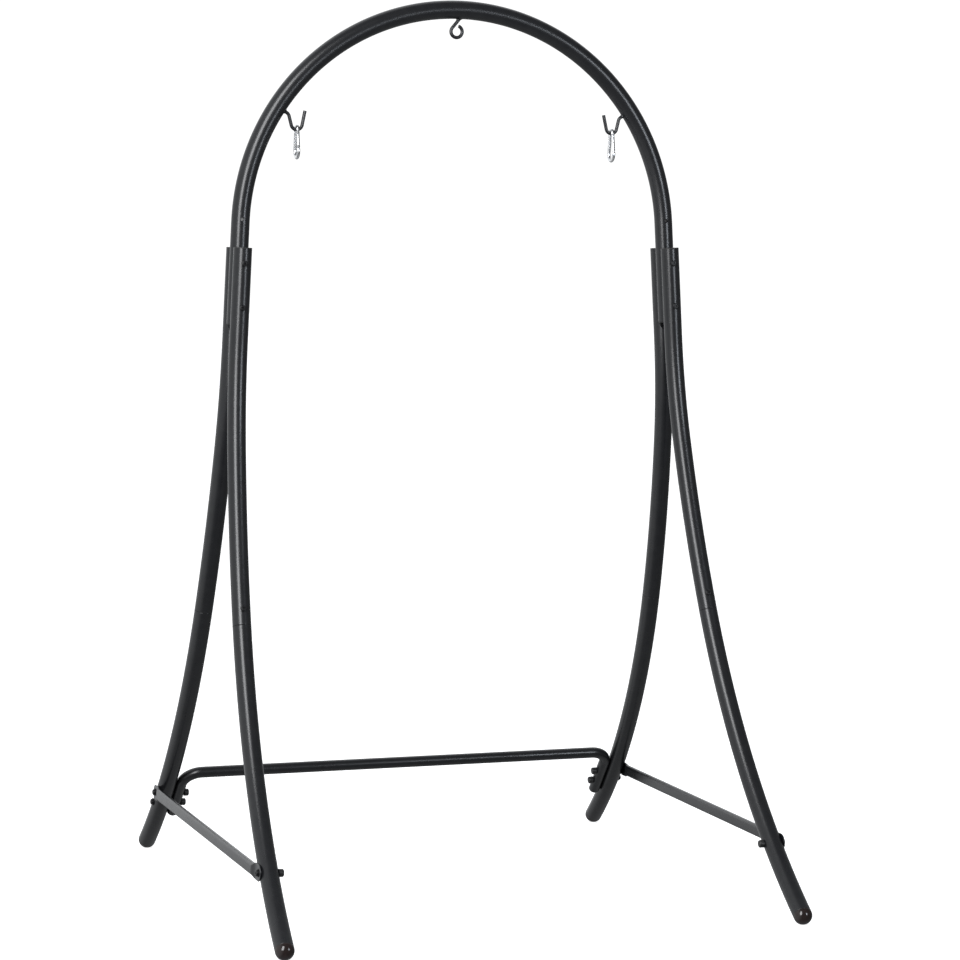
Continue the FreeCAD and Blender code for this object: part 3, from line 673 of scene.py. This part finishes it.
# %% Blackened steel
black_steel, shader = new_finish("blackened_steel", (0.006, 0.006, 0.007), 0.38, ior=1.4)
tint(black_steel, shader, speckle(black_steel, 320, 4), (0.004, 0.004, 0.005), (0.009, 0.009, 0.010))
uneven_shine(black_steel, shader, speckle(black_steel, 260, 3), 0.30, 0.46)
relief(black_steel, shader, speckle(black_steel, 2200, 2), 0.00001, 0.2)
print("made", black_steel.name)

# %% Moulded plastic
dull_plastic, shader = new_finish("moulded_black_plastic", (0.013, 0.013, 0.013), 0.42)
tint(dull_plastic, shader, speckle(dull_plastic, 180, 2), (0.011, 0.011, 0.011), (0.016, 0.016, 0.016))
uneven_shine(dull_plastic, shader, speckle(dull_plastic, 400, 2), 0.36, 0.5)
relief(dull_plastic, shader, speckle(dull_plastic, 1600, 1), 0.00003, 0.4)
print("made", dull_plastic.name)

# %% [markdown]
# ## Bright zinc and spring steel
# The two snap hooks are bent from 8 mm wire and plated in bright zinc. Plating follows the marks of drawing
# the wire, so the shine is streaked along it, with a faint blue and straw cast. A chrome mirror would be
# too clean. A metallic shader with a stretched noise gives the streaks.

# %% Bright zinc
bright_zinc, shader = new_finish("bright_zinc_plate", (0.86, 0.87, 0.88), 0.22, metallic=1.0)
tint(bright_zinc, shader, speckle(bright_zinc, 160, 3), (0.80, 0.82, 0.86), (0.90, 0.89, 0.87))
uneven_shine(bright_zinc, shader, speckle(bright_zinc, 900, 3, (1, 1, 0.15)), 0.16, 0.3)
relief(bright_zinc, shader, speckle(bright_zinc, 1500, 2, (1, 1, 0.1)), 0.00001, 0.1)
print("made", bright_zinc.name)

# %% Spring steel
spring_steel, shader = new_finish("spring_steel", (0.42, 0.42, 0.43), 0.28, metallic=1.0)
tint(spring_steel, shader, speckle(spring_steel, 300, 2), (0.36, 0.36, 0.38), (0.48, 0.47, 0.46))
uneven_shine(spring_steel, shader, speckle(spring_steel, 1200, 2), 0.2, 0.36)
print("made", spring_steel.name)

# %% Finish the parts that keep the frame's own shape
finishes = {"frame_black": powder_coat, "bolts_black": black_steel, "plastic_black": dull_plastic,
            "gloss_caps": cap_plastic, "bright_zinc": bright_zinc, "spring_steel": spring_steel}
slot_of = {part["node"]: part["material_slot"] for part in frame["record"]["subparts"]}
for node, part in frame["nodes"].items():
    part.data.materials.clear()
    part.data.materials.append(finishes[slot_of[node]])
    part.data.set_sharp_from_angle(angle=math.radians(CREASE))
print("finished", len(frame["nodes"]), "frame parts with", len(finishes), "finishes")

# %% [markdown]
# ## Floor and light
# The stand is shown in a plain white studio. A tall soft box stands in front on the left and a small one
# on the right. The tall one draws the long streaks down the tubes, and the small one adds a cooler, weaker
# light from the other side. A single lamp would be simpler, but it lights the tubes from one side only.
# A pale floor runs far out, so nothing competes with the thin black lines.

# %% Floor
floor_mesh = bmesh.new()
floor_reach = 60   # metres each way
bmesh.ops.create_grid(floor_mesh, x_segments=8, y_segments=8, size=floor_reach)
floor = finish_mesh("studio_floor", floor_mesh)
floor.location.z = -0.0005
floor_paint, shader = new_finish("pale_floor_paint", (0.9, 0.9, 0.9), 0.6)
shader.inputs["Emission Color"].default_value = (1, 1, 1, 1)
shader.inputs["Emission Strength"].default_value = 0.72
floor.data.materials.append(floor_paint)
floor.visible_glossy = False
floor.visible_diffuse = False
print("floor laid")

# %% Soft boxes
lamp_aim = Vector((0, 0, 1.1))


def soft_box(name, azimuth, rise, distance, width, height, power):
    """A lamp panel that faces the stand. Azimuth is in degrees from the front, positive to the left."""
    data = bpy.data.lights.new(name, "AREA")
    data.shape, data.size, data.size_y, data.energy = "RECTANGLE", width, height, power
    lamp = bpy.data.objects.new(name, data)
    bpy.context.scene.collection.objects.link(lamp)
    a = math.radians(azimuth)
    lamp.location = (-math.sin(a) * distance, -math.cos(a) * distance, rise)
    lamp.rotation_mode = "QUATERNION"
    lamp.rotation_quaternion = (lamp.location - lamp_aim).to_track_quat("Z", "Y")
    lamp.visible_camera = False
    return lamp


def add_boxes():
    """A tall box from the left for the long streaks, and a small cool one from the right."""
    left = soft_box("key_left", 38, 3.1, 4.5, 1.9, 4.2, 255)
    right_hand = soft_box("key_right", -30, 1.9, 5.4, 1.1, 1.5, 66)
    left.data.color, right_hand.data.color = (0.97, 0.98, 1.0), (0.86, 0.92, 1.0)
    return left, right_hand


print("lit by", ", ".join(lamp.name for lamp in add_boxes()))

# %% [markdown]
# Shiny things need a room to mirror. Only the camera sees white paper all round. The tubes see a room
# that is light to the left, behind and below, and dim elsewhere, so each one has a light edge and a
# dark one. Plain white all round would turn satin black into grey.

# %% White surround
surround = bpy.data.worlds.new("white_studio")
bpy.context.scene.world = surround
surround.use_nodes = True
nodes, links = surround.node_tree.nodes, surround.node_tree.links
paper = nodes["Background"]
paper.inputs["Color"].default_value = (1, 1, 1, 1)
paper.inputs["Strength"].default_value = 1.1
room = nodes.new("ShaderNodeBackground")
room.inputs["Color"].default_value = (0.96, 0.98, 1, 1)
where = nodes.new("ShaderNodeTexCoord")


def glow(toward, start, full, low, high):
    """Room light that rises from low to high as a look direction nears the one given."""
    match = nodes.new("ShaderNodeVectorMath")
    match.operation = "DOT_PRODUCT"
    match.inputs[1].default_value = Vector(toward).normalized()
    shade = nodes.new("ShaderNodeMapRange")
    shade.interpolation_type = "SMOOTHSTEP"
    shade.inputs["From Min"].default_value, shade.inputs["From Max"].default_value = start, full
    shade.inputs["To Min"].default_value, shade.inputs["To Max"].default_value = low, high
    links.new(where.outputs["Generated"], match.inputs[0])
    links.new(match.outputs["Value"], shade.inputs["Value"])
    return shade.outputs["Result"]


def lighter(one, other):
    """The brighter of two glows."""
    pick = nodes.new("ShaderNodeMath")
    pick.operation = "MAXIMUM"
    links.new(one, pick.inputs[0])
    links.new(other, pick.inputs[1])
    return pick.outputs["Value"]


wall = glow((-0.97, 0.2, 0.1), 0.2, 0.9, 0.16, 0.84)
behind = glow((0, 0.85, 0.5), 0.45, 0.95, 0.16, 1.1)
ground = glow((0, 0.3, -1), 0.3, 0.9, 0.16, 0.34)
links.new(lighter(lighter(wall, behind), ground), room.inputs["Strength"])
seen = nodes.new("ShaderNodeLightPath")
both = nodes.new("ShaderNodeMixShader")
links.new(seen.outputs["Is Camera Ray"], both.inputs["Fac"])
links.new(room.outputs["Background"], both.inputs[1])
links.new(paper.outputs["Background"], both.inputs[2])
links.new(both.outputs["Shader"], nodes["World Output"].inputs["Surface"])
bpy.context.scene.view_settings.view_transform = "Standard"
print("white surround set")
